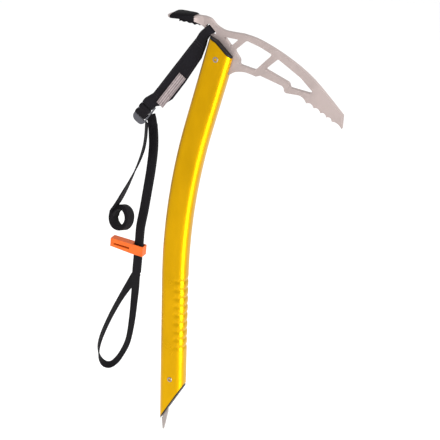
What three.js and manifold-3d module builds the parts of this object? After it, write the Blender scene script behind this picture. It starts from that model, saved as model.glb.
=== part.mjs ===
// Ice axe with a bent alloy shaft, a plate head, a pinned spike and a sewn wrist leash.
// Millimetres. X runs towards the pick, Y across the axe, Z up.
// The origin is the centre of the head rivet. The lower shaft is parallel to Z.

import * as THREE from 'three';
import { mergeVertices } from 'three/addons/utils/BufferGeometryUtils.js';
import Module from 'manifold-3d';

const wasm = await Module();
wasm.setup();

// Driving dimensions
const GAP = 0.3;                 // between parts that touch
const DEG = Math.PI / 180;

const LEAN = 15 * DEG;           // upper shaft, towards the pick
const LOWER_X = -45;             // lower shaft axis, behind the rivet
const BEND_RADIUS = 720;
const SHAFT_DEPTH = 30;          // fore and aft
const SHAFT_WIDTH = 19.5;        // side to side
const SHAFT_CORNER = 8;
const SHAFT_WALL = 2;
const SHAFT_FOOT = -452;         // just below the lowest point of the slanted foot
const TOP_CUT = { height: 16.3, slope: -0.933, backSlope: -0.41, bend: -1 };
const FOOT_CUT = { height: -343, slope: 1.767 };     // z = height + slope * x

const PLATE = 5;                 // head plate thickness
const SPIKE_PLATE = 3;
const RIVET_RADIUS = 2.5;
const RIVET_HEAD = 3.2;
const FLANGE = 1.5;              // plug rim that shows between shaft and head
const PLUG_FIT = 0.5;            // how far the plug's core rises past the shaft's cut
const RIM_INSET = 0.4;           // the rim stands this far inside the shaft's outline
const RIM_FOOT = -20;
const TANG = { back: -10.5, front: 11.5, foot: -32, top: 18.9, shoulder: -4 };
const SLOT_FOOT = -13;           // lowest point of the plate where it enters the shaft
const SPIKE_RIVET = { x: LOWER_X, z: -390 };
const SPIKE = { back: -57.4, front: -38, top: -378 };
const SPIKE_PLUG_TOP = -372;
const PLUG_FOOT = -460;          // below the rims of both cuts

const CLEAR = 60;                // reach of a cutting shape, well past the part it cuts
const LEASH_SLOT = { x: -9.25, z: 28.7, length: 12.6, width: 4.5, turn: 45 * DEG };
const BRIDGE = 2.5;              // strip of plate that the sling is looped round

const SLING_TURN = 36 * DEG;     // how far the sling's cross direction points down
const WEB = 2;                   // thickness of one layer of sling webbing
const BAR = { first: -111, pitch: 8, x: -2.4, side: 2 };
const BUCKLE = { half: 8, rail: 1.5, thick: 2, top: -110, foot: -138, corner: 6, windows: [6, 6, 3] };

const TAPE_WIDTH = 12;
const TAPE = 1.6;                // thickness of the narrow tape
const LAYER = TAPE + GAP;        // pitch of stacked tape layers
const ROLL = { x: -113.5, z: -201, inner: 8.4, outer: 15.6, pitch: 16 * DEG, yaw: -12 * DEG };

// The stretch of doubled tape that the slider runs on
const RUN_TOP = new THREE.Vector3(-89.3, 0, -208);
const RUN_FOOT = new THREE.Vector3(-94.7, 0, -272);
const SLIDER_AT = 0.44;          // along that stretch
const SLIDER = { height: 12, depth: 9.4, wall: 1, passage: 12.8, handle: 26.6, step: 1.8 };
const SLIDER_POCKET = { margin: 2.5, end: 4, foot: -1.4, top: 0.9 };

const group = new THREE.Group();
const leashFrame = new THREE.Group();        // X across the sling, Z up along it
const bridgeCentre = slotPoint(0, -(LEASH_SLOT.width + BRIDGE) / 2);
leashFrame.position.set(bridgeCentre.x, 0, bridgeCentre.y);
leashFrame.rotation.y = SLING_TURN;
group.add(leashFrame);

// Materials
function finish(color, roughness, metalness) {
  return new THREE.MeshStandardMaterial({ color, roughness, metalness });
}
const GOLD = () => finish(0xd6a010, 0.35, 0.9);
const STEEL = () => finish(0xb0a29f, 0.4, 0.9);
const BRIGHT = () => finish(0xdcd6d0, 0.25, 1);
const BLACK_PLASTIC = () => finish(0x18171a, 0.5, 0);
const WEBBING = () => finish(0x201c1e, 0.85, 0);
const LABEL_CLOTH = () => finish(0xd8d2cf, 0.8, 0);
const ORANGE = () => finish(0xec6a22, 0.5, 0);

// Helpers for solids
function solid(geometry) {
  const bare = geometry.index ? geometry.toNonIndexed() : geometry.clone();
  bare.deleteAttribute('normal');
  bare.deleteAttribute('uv');
  const merged = mergeVertices(bare, 1e-4);
  return new wasm.Manifold(new wasm.Mesh({
    numProp: 3,
    vertProperties: merged.attributes.position.array,
    triVerts: Uint32Array.from(merged.index.array),
  }));
}

function surface(manifold) {
  const mesh = manifold.getMesh();
  const geometry = new THREE.BufferGeometry();
  geometry.setAttribute('position', new THREE.BufferAttribute(mesh.vertProperties, 3));
  geometry.setIndex(new THREE.BufferAttribute(mesh.triVerts, 1));
  geometry.computeVertexNormals();
  return geometry;
}

function add(name, shape, material, parent = group) {
  const geometry = shape instanceof THREE.BufferGeometry ? shape : surface(shape);
  const mesh = new THREE.Mesh(geometry, material);
  mesh.name = name;
  parent.add(mesh);
  return mesh;
}

function box(x0, x1, y0, y1, z0, z1) {
  const geometry = new THREE.BoxGeometry(x1 - x0, y1 - y0, z1 - z0);
  return solid(geometry.translate((x0 + x1) / 2, (y0 + y1) / 2, (z0 + z1) / 2));
}

// A flat shape drawn in X and Z, given its thickness across Y
function slab(shape, thickness, y = 0, curveSegments = 4) {
  const geometry = new THREE.ExtrudeGeometry(shape, {
    depth: thickness, bevelEnabled: false, curveSegments,
  });
  return solid(geometry.rotateX(Math.PI / 2).translate(0, y + thickness / 2, 0));
}

function polygon(points) {
  return new THREE.Shape(points.map(([x, y]) => new THREE.Vector2(x, y)));
}

function roundedRectangle(width, height, radius, into = new THREE.Shape()) {
  const x = width / 2 - radius;
  const y = height / 2 - radius;
  into.absarc(x, y, radius, 0, Math.PI / 2);
  into.absarc(-x, y, radius, Math.PI / 2, Math.PI);
  into.absarc(-x, -y, radius, Math.PI, Math.PI * 1.5);
  into.absarc(x, -y, radius, Math.PI * 1.5, Math.PI * 2);
  into.closePath();
  return into;
}

// A pin across the axe, from y0 to y1
function pinAcross(radius, y0, y1, x, z, segments = 20) {
  const geometry = new THREE.CylinderGeometry(radius, radius, y1 - y0, segments);
  return solid(geometry.translate(x, (y0 + y1) / 2, z));
}

// Clearance for a rivet, right through the axe
function rivetHole(x, z) {
  return pinAcross(RIVET_RADIUS + GAP, -SHAFT_WIDTH, SHAFT_WIDTH, x, z);
}

// Closed skin over a row of rings with the same number of points, listed away from the pick
function loft(rings) {
  const count = rings[0].length;
  const positions = rings.flat().flatMap((p) => [p.x, p.y, p.z]);
  const index = [];
  for (let r = 0; r + 1 < rings.length; r += 1) {
    for (let i = 0; i < count; i += 1) {
      const a = r * count + i;
      const b = r * count + (i + 1) % count;
      index.push(a, b + count, b, a, a + count, b + count);
    }
  }
  const last = (rings.length - 1) * count;
  const flat = (ring) => ring.map((p) => new THREE.Vector2(p.y, p.z));
  const cap = (ring) => THREE.ShapeUtils.triangulateShape(flat(ring), []);
  cap(rings[0]).forEach(([a, b, c]) => index.push(a, b, c));
  cap(rings.at(-1)).forEach(([a, b, c]) => index.push(last + a, last + c, last + b));
  const geometry = new THREE.BufferGeometry();
  geometry.setAttribute('position', new THREE.Float32BufferAttribute(positions, 3));
  geometry.setIndex(index);
  return solid(geometry);
}

// Keeps the extruded section square to the side of the axe: its first axis is Y
const keepSquare = {
  computeFrenetFrames(segments) {
    const frames = { tangents: [], normals: [], binormals: [] };
    for (let i = 0; i <= segments; i += 1) {
      const tangent = this.getTangentAt(i / segments);
      const normal = new THREE.Vector3(0, 1, 0).addScaledVector(tangent, -tangent.y).normalize();
      frames.tangents.push(tangent);
      frames.normals.push(normal);
      frames.binormals.push(new THREE.Vector3().crossVectors(tangent, normal));
    }
    return frames;
  },
};

// The line down the middle of the shaft, measured from its foot
class ShaftAxis extends THREE.Curve {
  constructor(start, end) {
    super();
    Object.assign(this, keepSquare);
    this.start = start;
    this.end = end;
  }

  getPoint(t, target = new THREE.Vector3()) {
    const meet = LOWER_X / Math.tan(LEAN);
    const tangentLength = BEND_RADIUS * Math.tan(LEAN / 2);
    const bendStart = meet - tangentLength;
    const arcLength = BEND_RADIUS * LEAN;
    const s = this.start + (this.end - this.start) * t - bendStart;
    if (s < 0) return target.set(LOWER_X, 0, bendStart + s);
    const turn = Math.min(s / BEND_RADIUS, LEAN);
    const rest = Math.max(s - arcLength, 0);
    return target.set(
      LOWER_X + BEND_RADIUS * (1 - Math.cos(turn)) + rest * Math.sin(LEAN),
      0,
      bendStart + BEND_RADIUS * Math.sin(turn) + rest * Math.cos(LEAN),
    );
  }
}

// A point beside the upper shaft: t up along it from the rivet, d forward from its axis
function onShaft(d, t) {
  return [t * Math.sin(LEAN) + d * Math.cos(LEAN), t * Math.cos(LEAN) - d * Math.sin(LEAN)];
}

// A point beside the leash slot: along it, and out of it towards the upper right
function slotPoint(along, out) {
  const c = Math.cos(LEASH_SLOT.turn);
  const s = Math.sin(LEASH_SLOT.turn);
  return new THREE.Vector2(LEASH_SLOT.x + along * c + out * s, LEASH_SLOT.z - along * s + out * c);
}

// Everything above the bent line that the shaft's top is cut along, raised square to it
function aboveTop(raise = 0) {
  const front = TOP_CUT.height + raise * Math.hypot(1, TOP_CUT.slope);
  const back = TOP_CUT.height + raise * Math.hypot(1, TOP_CUT.backSlope)
    + (TOP_CUT.slope - TOP_CUT.backSlope) * TOP_CUT.bend;
  const knee = (back - front) / (TOP_CUT.slope - TOP_CUT.backSlope);
  return slab(polygon([
    [-CLEAR, back - TOP_CUT.backSlope * CLEAR], [knee, back + TOP_CUT.backSlope * knee],
    [CLEAR, front + TOP_CUT.slope * CLEAR], [CLEAR, 2 * CLEAR], [-CLEAR, 2 * CLEAR],
  ]), CLEAR);
}

// Everything below the straight line that the shaft's foot is cut along, lowered square to it
function belowFoot(drop = 0) {
  const height = FOOT_CUT.height - drop * Math.hypot(1, FOOT_CUT.slope);
  const at = (x) => [x, height + FOOT_CUT.slope * x];
  const back = LOWER_X - CLEAR;
  const front = LOWER_X + CLEAR;
  const deep = at(back)[1] - CLEAR;
  return slab(polygon([at(back), [back, deep], [front, deep], at(front)]), CLEAR);
}

// Shaft
function shaftSection(inset) {
  return roundedRectangle(SHAFT_WIDTH - 2 * inset, SHAFT_DEPTH - 2 * inset, SHAFT_CORNER - inset);
}

function alongShaft(shape, start, end, steps) {
  return solid(new THREE.ExtrudeGeometry(shape, {
    steps, curveSegments: 3, bevelEnabled: false, extrudePath: new ShaftAxis(start, end),
  }));
}

function makeShaft() {
  const tube = shaftSection(0);
  tube.holes.push(shaftSection(SHAFT_WALL));
  const slotWay = polygon([
    onShaft(SHAFT_DEPTH / 3, SLOT_FOOT), onShaft(SHAFT_DEPTH, SLOT_FOOT),
    onShaft(SHAFT_DEPTH, CLEAR), onShaft(SHAFT_DEPTH / 3, CLEAR),
  ]);
  const cut = alongShaft(tube, SHAFT_FOOT, axisLength(CLEAR), 24)
    .subtract(aboveTop())
    .subtract(belowFoot())
    .subtract(slab(slotWay, PLATE + 2 * GAP))
    .subtract(rivetHole(0, 0))
    .subtract(rivetHole(SPIKE_RIVET.x, SPIKE_RIVET.z));
  add('shaft', cut, GOLD());
}

// Head plate: pick, teeth, lightening holes, tang and the neck of the adze
function headOutline() {
  const shape = new THREE.Shape();
  const spline = (points) => shape.splineThru(points.map(([x, z]) => new THREE.Vector2(x, z)));
  shape.moveTo(-18, 41);
  spline([[-10.4, 39.2], [-5, 34.3], [0.5, 30.9], [8, 28.7], [26, 28.1]]);
  spline([[45, 23.9], [74, 11], [103, -7.7], [136.3, -39.8]]);
  shape.lineTo(136.1, -53.5);                                  // tip of the pick
  shape.quadraticCurveTo(131.5, -46.5, TEETH[0][0], TEETH[0][1]);
  for (let i = 1; i < TEETH.length; i += 1) {
    const [x0, z0] = TEETH[i - 1];
    const [x1, z1] = TEETH[i];
    shape.quadraticCurveTo((x0 + x1) / 2 + 1.6, (z0 + z1) / 2 + 4.2, x1, z1);
  }
  shape.quadraticCurveTo(94, -26.3, 88.5, -25.8);
  shape.lineTo(76, -25.6);
  shape.quadraticCurveTo(72.7, -25.4, 72.6, -21.5);
  shape.quadraticCurveTo(72.3, -19.6, 69.5, -18.5);
  shape.lineTo(46.6, -11.7);
  shape.lineTo(41.8, -13.3);
  spline([[35, -11.6], [28, -10.6], [19, -12], onShaft(16.4, SLOT_FOOT + 1)]);
  const edge = [
    onShaft(TANG.front, SLOT_FOOT + GAP), onShaft(TANG.front, TANG.foot),
    onShaft(TANG.back, TANG.foot), onShaft(TANG.back, TANG.top),
  ];
  edge.forEach(([x, z]) => shape.lineTo(x, z));
  const lowRight = slotPoint(4, -LEASH_SLOT.width / 2 - BRIDGE);
  const lowLeft = slotPoint(-LEASH_SLOT.length / 2, -LEASH_SLOT.width / 2 - BRIDGE);
  shape.lineTo(lowRight.x, lowRight.y);
  shape.lineTo(lowLeft.x, lowLeft.y);
  shape.lineTo(-18, 30.5);
  shape.closePath();
  shape.holes.push(smallWindow(), middleWindow(), frontWindow(), slotHole());
  return shape;
}

const TEETH = [[125.4, -47.4], [119.4, -44.2], [112.8, -40.6], [105.4, -36.6], [97.3, -32.7]];

// Closed anticlockwise outline whose corners are rounded by a given radius
function roundedPolygon(corners, radius) {
  const path = new THREE.Path();
  const points = corners.map(([x, z]) => new THREE.Vector2(x, z));
  points.forEach((corner, i) => {
    const before = points[(i + points.length - 1) % points.length];
    const after = points[(i + 1) % points.length];
    const towards = (p) => p.clone().sub(corner).setLength(radius).add(corner);
    const entry = towards(before);
    const exit = towards(after);
    if (i === 0) path.moveTo(entry.x, entry.y);
    else path.lineTo(entry.x, entry.y);
    path.quadraticCurveTo(corner.x, corner.y, exit.x, exit.y);
  });
  path.closePath();
  return path;
}

function smallWindow() {
  return roundedPolygon([[5.2, 22.9], [12.8, 14], [21.4, 22]], 1.6);
}

function middleWindow() {
  const corners = [[23.7, 1.2], [23, -3.6], [40.6, -7], [58.3, 11.6], [45, 17.6], [30, 22.2], [17, 10]];
  return roundedPolygon(corners, 2.4);
}

function frontWindow() {
  const corners = [
    [77.5, -14.8], [79, -19.6], [100.3, -22.3], [103.4, -20.2], [90, -7.7], [64.8, 8], [51.5, -4.4],
  ];
  return roundedPolygon(corners, 1.7);
}

function slotHole() {
  const long = LEASH_SLOT.length / 2;
  const half = LEASH_SLOT.width / 2;
  const corners = [[-long, -half], [long, -half], [long, half], [-long, half]];
  return roundedPolygon(corners.map(([a, b]) => slotPoint(a, b).toArray()), 1.2);
}

// Stations down the adze: x, half width, underside, top, and how far the sides fall away
const ADZE = [
  { x: -17.5, half: 2.5, under: 30.4, top: 41, fall: 0 },
  { x: -23, half: 4, under: 33.6, top: 41, fall: 0.2 },
  { x: -29.5, half: 6.8, under: 36.3, top: 40.8, fall: 0.5 },
  { x: -36.5, half: 9.4, under: 37.7, top: 40.6, fall: 0.7 },
  { x: -44, half: 11, under: 38, top: 40.7, fall: 0.8 },
  { x: -50, half: 11, under: 37.9, top: 40.6, fall: 0.8 },
  { x: -54, half: 9.4, under: 37.8, top: 40, fall: 0.6 },
  { x: -56.8, half: 5.2, under: 37.6, top: 39, fall: 0.3 },
];
const ADZE_STEPS = 18;

const adzeCurve = (key) => new THREE.SplineCurve(ADZE.map((at) => new THREE.Vector2(at.x, at[key])));
const ADZE_CURVES = ['half', 'under', 'top', 'fall'].map((key) => [key, adzeCurve(key)]);

// The adze's section at a share of its length from the neck
function adzeShare(share) {
  const station = {};
  ADZE_CURVES.forEach(([key, curve]) => {
    const point = curve.getPoint(share);
    station.x = point.x;
    station[key] = point.y;
  });
  return station;
}

function adzeAt(x) {
  let low = 0;
  let high = 1;
  while (high - low > 1e-5) {
    const middle = (low + high) / 2;
    if (adzeShare(middle).x > x) low = middle;
    else high = middle;
  }
  return adzeShare(low);
}

// A ring of points round an arched strip, standing square to X
function archRing({ x, half, under, top, fall }, spread = half) {
  const across = 8;
  const ring = [];
  const arch = (y) => fall * (y / spread) ** 2;
  for (let i = 0; i <= across; i += 1) {
    const y = half * (2 * i / across - 1);
    ring.push(new THREE.Vector3(x, y, under - arch(y)));
  }
  for (let i = across; i >= 0; i -= 1) {
    const y = half * (2 * i / across - 1);
    const corner = i === 0 || i === across ? 0.25 * (top - under) : 0;
    ring.push(new THREE.Vector3(x, y, top - arch(y) - corner));
  }
  return ring;
}

const PAD_SCREWS = [-33, -42];
const PAD_SCREW_RADIUS = 1.1;

function screwHole(x) {
  return solid(new THREE.CylinderGeometry(PAD_SCREW_RADIUS + GAP, PAD_SCREW_RADIUS + GAP, 12, 12)
    .rotateX(Math.PI / 2).translate(x, 0, 39));
}

function makeHead() {
  const plate = slab(headOutline(), PLATE, 0, 5);
  const blade = [];
  for (let i = 0; i <= ADZE_STEPS; i += 1) blade.push(archRing(adzeShare(i / ADZE_STEPS)));
  let head = plate.add(loft(blade));
  head = head.subtract(rivetHole(0, 0));
  PAD_SCREWS.forEach((x) => {
    head = head.subtract(screwHole(x));
  });
  add('head', head, STEEL());
}

// Moulded pads, for the hand that carries the axe by its head. The upper one covers
// the adze and hooks down over both its sides; the lower one is a ribbed block.
const TOP_PAD = { from: -27, to: -51.5, thick: 1.7, hook: 0.9 };
const LOW_PAD = { from: -21.5, to: -42.5, thick: 2.8, ribs: 4 };

function hookedRing(x, swell) {
  const { half, under, top, fall } = adzeAt(x);
  const across = 12;
  const outerHalf = half + GAP + TOP_PAD.hook;
  const arch = (y) => fall * (y / half) ** 2;
  const crown = GAP + TOP_PAD.thick * (0.3 + 0.7 * swell);
  const ring = [];
  for (let i = 0; i <= across; i += 1) {
    const y = (half + GAP) * (1 - 2 * i / across);
    ring.push(new THREE.Vector3(x, y, top + GAP - arch(y)));
  }
  const foot = under - fall;
  ring.push(new THREE.Vector3(x, -half - GAP, foot), new THREE.Vector3(x, -outerHalf, foot));
  for (let i = 0; i <= across; i += 1) {
    const y = outerHalf * (2 * i / across - 1);
    const edge = crown * (y / outerHalf) ** 6 * 0.6;
    ring.push(new THREE.Vector3(x, y, top - arch(y) + crown - edge));
  }
  ring.push(new THREE.Vector3(x, outerHalf, foot), new THREE.Vector3(x, half + GAP, foot));
  return ring.reverse();
}

function makeTopPad() {
  const rings = [];
  const steps = 14;
  for (let i = 0; i <= steps; i += 1) {
    const u = i / steps;
    const x = TOP_PAD.from + (TOP_PAD.to - TOP_PAD.from) * u;
    rings.push(hookedRing(x, Math.sqrt(1 - (2 * u - 1) ** 6)));
  }
  let pad = loft(rings);
  PAD_SCREWS.forEach((x) => {
    const deep = adzeAt(x).top + GAP + 1;
    pad = pad.subtract(screwHole(x).subtract(box(-60, 0, -5, 5, deep, 60)));
  });
  add('adze_pad_top', pad, BLACK_PLASTIC());
}

function makeLowPad() {
  const rings = [];
  const steps = 24;
  for (let i = 0; i <= steps; i += 1) {
    const u = i / steps;
    const blade = adzeAt(LOW_PAD.from + (LOW_PAD.to - LOW_PAD.from) * u);
    const rib = 0.5 * Math.cos(2 * Math.PI * LOW_PAD.ribs * u);
    const deep = Math.min(1, 0.25 + 3 * u) * LOW_PAD.thick + rib;
    const half = Math.min(blade.half * 0.8, 7.8);
    const { x, under, fall } = blade;
    rings.push(archRing({ x, half, under: under - GAP - deep, top: under - GAP - 0.2, fall }, blade.half));
  }
  let pad = loft(rings);
  PAD_SCREWS.forEach((x) => {
    pad = pad.subtract(screwHole(x));
  });
  add('adze_pad_under', pad, BLACK_PLASTIC());
}

function makePadScrews() {
  PAD_SCREWS.forEach((x, i) => {
    const blade = adzeAt(x);
    const foot = blade.under - LOW_PAD.thick - 4 * GAP;
    const profile = [
      [0, foot - 1.4], [1.5, foot - 1.4], [2.1, foot - 0.7], [2.1, foot],
      [PAD_SCREW_RADIUS, foot], [PAD_SCREW_RADIUS, blade.top + 0.9], [0, blade.top + 0.9],
    ];
    const turned = new THREE.LatheGeometry(profile.map(([r, h]) => new THREE.Vector2(r, h)), 14);
    add(`pad_screw_${i + 1}`, solid(turned.rotateX(Math.PI / 2).translate(x, 0, 0)), BRIGHT());
  });
}

// Plug that closes the top of the shaft and grips the tang
function makeHeadPlug() {
  const top = axisLength(CLEAR);
  const core = alongShaft(shaftSection(SHAFT_WALL + GAP), axisLength(TANG.foot - 4), top, 4)
    .subtract(aboveTop(PLUG_FIT));
  const rim = alongShaft(shaftSection(RIM_INSET), axisLength(RIM_FOOT), top, 4)
    .subtract(aboveTop(FLANGE + GAP))
    .intersect(aboveTop(GAP));
  const tangWay = slab(polygon([
    onShaft(TANG.back - GAP, TANG.foot - GAP), onShaft(SHAFT_DEPTH, TANG.foot - GAP),
    onShaft(SHAFT_DEPTH, CLEAR), onShaft(TANG.back - GAP, CLEAR),
  ]), PLATE + 2 * GAP);
  const half = PLATE / 2 + GAP;
  const shoulderWay = box(-SHAFT_DEPTH, TANG.shoulder, -half, half, TANG.top + 2 * GAP, CLEAR);
  const plug = core.add(rim.subtract(shoulderWay))
    .subtract(tangWay)
    .subtract(rivetHole(0, 0));
  add('head_plug', plug, BLACK_PLASTIC());
}

// Distance along the shaft axis, from its zero, of a point t up from the head rivet
function axisLength(t) {
  const meet = LOWER_X / Math.tan(LEAN);
  const bendStart = meet - BEND_RADIUS * Math.tan(LEAN / 2);
  const straight = -LOWER_X / Math.sin(LEAN) - BEND_RADIUS * Math.tan(LEAN / 2);
  return bendStart + BEND_RADIUS * LEAN + straight + t;
}

function makeRivet(name, x, z) {
  const half = SHAFT_WIDTH / 2 + GAP;
  const dome = half + 1.1;
  const profile = [
    [0, -dome], [2.2, -dome], [RIVET_HEAD, -half - 0.3], [RIVET_HEAD, -half], [RIVET_RADIUS, -half],
    [RIVET_RADIUS, half], [RIVET_HEAD, half], [RIVET_HEAD, half + 0.3], [2.2, dome], [0, dome],
  ];
  const turned = new THREE.LatheGeometry(profile.map(([r, h]) => new THREE.Vector2(r, h)), 20);
  add(name, solid(turned.translate(x, 0, z)), BRIGHT());
}

// Spike and the plug that holds it in the slanted foot
function makeSpike() {
  const outline = polygon([
    [SPIKE.back, SPIKE.top], [SPIKE.front, SPIKE.top], [SPIKE.front, -404], [-46.4, -424.5],
    [-50.3, -434], [-51, -442.5], [-55.9, -466.5], [-57.3, -466.5], [-58.6, -451.2], [SPIKE.back, -451.2],
  ]);
  const hole = rivetHole(SPIKE_RIVET.x, SPIKE_RIVET.z);
  add('spike', slab(outline, SPIKE_PLATE).subtract(hole), BRIGHT());
}

function makeSpikePlug() {
  const half = SPIKE_PLATE / 2 + GAP;
  const way = box(-CLEAR - GAP, SPIKE.front + GAP, -half, half, 2 * SHAFT_FOOT, SPIKE.top + GAP);
  const core = alongShaft(shaftSection(SHAFT_WALL + GAP), PLUG_FOOT, SPIKE_PLUG_TOP, 2)
    .subtract(belowFoot(PLUG_FIT));
  const rim = alongShaft(shaftSection(RIM_INSET), PLUG_FOOT, SPIKE_PLUG_TOP, 2)
    .subtract(belowFoot(FLANGE))
    .intersect(belowFoot(GAP));
  const plug = core.add(rim)
    .subtract(way)
    .subtract(rivetHole(SPIKE_RIVET.x, SPIKE_RIVET.z));
  add('spike_plug', plug, BLACK_PLASTIC());
}

// Sling: wide webbing looped round the bridge above and the buckle's first bar below
function teardrop(inner, outer, reach) {
  const half = WEB + 0.2;
  const shape = new THREE.Shape();
  shape.moveTo(outer, 0);
  shape.absarc(0, 0, outer, 0, Math.PI);
  shape.lineTo(-half, -reach);
  shape.lineTo(half, -reach);
  shape.closePath();
  const hole = new THREE.Path();
  hole.moveTo(inner, 0);
  hole.absarc(0, 0, inner, 0, Math.PI);
  hole.lineTo(0, -reach + 2);
  hole.closePath();
  shape.holes.push(hole);
  const geometry = new THREE.ExtrudeGeometry(shape, {
    depth: 60, bevelEnabled: false, curveSegments: 6,
  });
  return geometry.translate(0, 0, -30).rotateX(Math.PI / 2).rotateZ(Math.PI / 2);
}

const SLING_EDGE = [
  [-5.2, 7.4], [-6.4, -1.5], [-6.6, -64], [-6.6, -98], [-8.6, -104], [-8.6, -116],
  [3.8, -116], [3.8, -108.4], [7, -104.5], [10, -98], [13.5, -88], [13, -61.7], [12, -29.4],
  [8.3, -15], [5.6, -8], [3.9, -3.2], [4.7, 5.8],
];

function makeSling() {
  const skew = LEASH_SLOT.turn - SLING_TURN;
  const topLoop = solid(teardrop(3.1, 5.1, 17).rotateY(skew));
  const footLoop = solid(teardrop(1.8, 3.8, 8).rotateY(Math.PI).translate(0, 0, BAR.first));
  const strip = box(-30, 30, -WEB - 0.2, WEB + 0.2, BAR.first + 7, -13);
  const outline = slab(polygon(SLING_EDGE), 20);
  add('sling', topLoop.add(strip).add(footLoop).intersect(outline), WEBBING(), leashFrame);
}

function makeLabel() {
  const near = -WEB - 0.2 - GAP;
  add('sling_label', box(2.4, 11.4, near - 0.8, near, -102, -57), LABEL_CLOTH(), leashFrame);
}

// Ladder buckle: three bars, a window below each, and a rounded end plate
function makeBuckle() {
  const { half, rail, thick, top, foot, corner, windows } = BUCKLE;
  const shape = new THREE.Shape();
  shape.moveTo(half, top);
  shape.lineTo(-half, top);
  shape.absarc(-half + corner, foot + corner, corner, Math.PI, Math.PI * 1.5);
  shape.absarc(half - corner, foot + corner, corner, Math.PI * 1.5, Math.PI * 2);
  shape.closePath();
  const inner = half - rail;
  windows.forEach((height, i) => {
    const from = BAR.first - BAR.pitch * i - BAR.side / 2;
    const to = from - height;
    shape.holes.push(polygon([[-inner, from], [-inner, to], [inner, to], [inner, from]]));
  });
  add('ladder_buckle', slab(shape, thick).translate([BAR.x, 0, 0]), BRIGHT(), leashFrame);
}

// The stretch of tape that is woven round the second and third bars
function makeWovenTape() {
  const left = BAR.x - BUCKLE.half + BUCKLE.rail + GAP;
  const right = left + TAPE_WIDTH;
  const tube = (radius, reach, z) => solid(new THREE.CylinderGeometry(radius, radius, reach, 16)
    .rotateZ(Math.PI / 2).translate((left + right) / 2, 0, z));
  const inner = BAR.side * 0.9;
  const second = BAR.first - BAR.pitch;
  const third = second - BAR.pitch;
  const link = box(left, right, -inner - TAPE, -inner, third, second);
  const woven = tube(inner + TAPE, TAPE_WIDTH, second)
    .add(tube(inner + TAPE, TAPE_WIDTH, third))
    .add(link)
    .subtract(tube(inner, 30, second))
    .subtract(tube(inner, 30, third));
  add('tape_in_buckle', woven, WEBBING(), leashFrame);
}

// Flat tape along a route of [x, y, z] points. The turn is how far its width leans
// out of the plane of the axe, at each share of its length.
function ribbon(name, route, steps, turn = () => 0) {
  const points = route.map((p) => new THREE.Vector3(...p));
  const path = new THREE.CatmullRomCurve3(points, false, 'centripetal');
  path.computeFrenetFrames = function turnedFrames(segments) {
    const frames = keepSquare.computeFrenetFrames.call(this, segments);
    frames.tangents.forEach((tangent, i) => {
      const angle = -turn(i / segments);
      frames.normals[i].applyAxisAngle(tangent, angle);
      frames.binormals[i].applyAxisAngle(tangent, angle);
    });
    return frames;
  };
  const section = roundedRectangle(TAPE, TAPE_WIDTH, TAPE / 4);
  const options = { steps, curveSegments: 1, bevelEnabled: false, extrudePath: path };
  add(name, new THREE.ExtrudeGeometry(section, options), WEBBING());
}

// Points on the straight run, moved across by y
const onRun = (u, y) => new THREE.Vector3().lerpVectors(RUN_TOP, RUN_FOOT, u).setY(y).toArray();
const runs = (y) => [0, 0.33, 0.66, 1].map((u) => onRun(u, y));

const MAIN_ROUTE = [
  [-80.2, 4.9, -76.5], [-77.6, 4.4, -86], [-76.4, 3, -97], [-75.5, 1.6, -112],
  [-77.3, 0, -136], [-81, -LAYER / 2, -161.8], [-85.2, -LAYER / 2, -186.6], ...runs(-LAYER / 2),
];
const RETURN_ROUTE = [
  [-77, 6.3, -90], [-76.2, 5.1, -99], [-75.5, 3.6, -112], [-77.3, 2, -136],
  [-81, LAYER / 2, -161.8], [-85.2, LAYER / 2, -186.6], ...runs(LAYER / 2),
];
const LOOP_ROUTE = [
  [-93.7, -1, -275], [-94.4, -1, -284], [-96.7, -0.5, -302.5], [-99.9, 0, -329.6],
  [-105.2, 0, -357.8], [-111.2, 0, -372.9], [-120.5, 0, -389], [-129.6, 0, -397.5],
  [-137.3, 0, -398.3], [-143.3, 0, -392.6], [-145.3, 0, -382], [-143, 0.5, -367.6],
  [-131.9, 2, -337.6], [-117.8, 3.4, -307.6], [-105.4, 3.4, -286], [-99.2, 2.4, -277],
];
const TAIL_ROUTE = [
  [-81.1, -3.4, -86], [-81.4, -3.6, -92], [-82.2, -3.4, -100], [-84.1, -2.8, -110],
  [-87.1, -2, -119.3], [-91.4, -1.2, -130.2], [-97.4, -0.5, -143.3], [-103.8, 0, -156.6],
  [-110.5, 0, -169.9], [-116.6, 0, -181.2],
];

// The loop opens flat, rolls over at its foot and comes back flat behind itself
const LOOP_TURNS = [
  [0, -12], [0.25, -28], [0.42, -50], [0.5, -80],
  [0.57, -118], [0.8, -130], [0.95, -160], [1, -168],
];

function loopTurn(u) {
  const next = Math.max(1, LOOP_TURNS.findIndex(([share]) => share >= u));
  const [u0, turn0] = LOOP_TURNS[next - 1];
  const [u1, turn1] = LOOP_TURNS[next];
  return (turn0 + (turn1 - turn0) * (u - u0) / (u1 - u0)) * DEG;
}

const tailTurn = (u) => -(53 + 47 * THREE.MathUtils.smoothstep(u, 0, 0.95)) * DEG;

function makeTape() {
  ribbon('tape_main', MAIN_ROUTE, 26);
  ribbon('tape_return', RETURN_ROUTE, 22);
  ribbon('wrist_loop', LOOP_ROUTE, 56, loopTurn);
  ribbon('tape_tail', TAIL_ROUTE, 24, tailTurn);
}

// The spare tape, rolled up: one ring of the roll's outer shape
function makeRoll() {
  const { inner, outer } = ROLL;
  const half = TAPE_WIDTH / 2;
  const profile = [[outer, -half], [outer, half], [inner, half], [inner, -half], [outer, -half]];
  const ring = new THREE.LatheGeometry(profile.map(([r, h]) => new THREE.Vector2(r, h)), 28);
  const roll = add('tail_roll', solid(ring), WEBBING());
  roll.rotation.set(-ROLL.pitch, 0, ROLL.yaw, 'ZXY');
  roll.position.set(ROLL.x, 0, ROLL.z);
}

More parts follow.
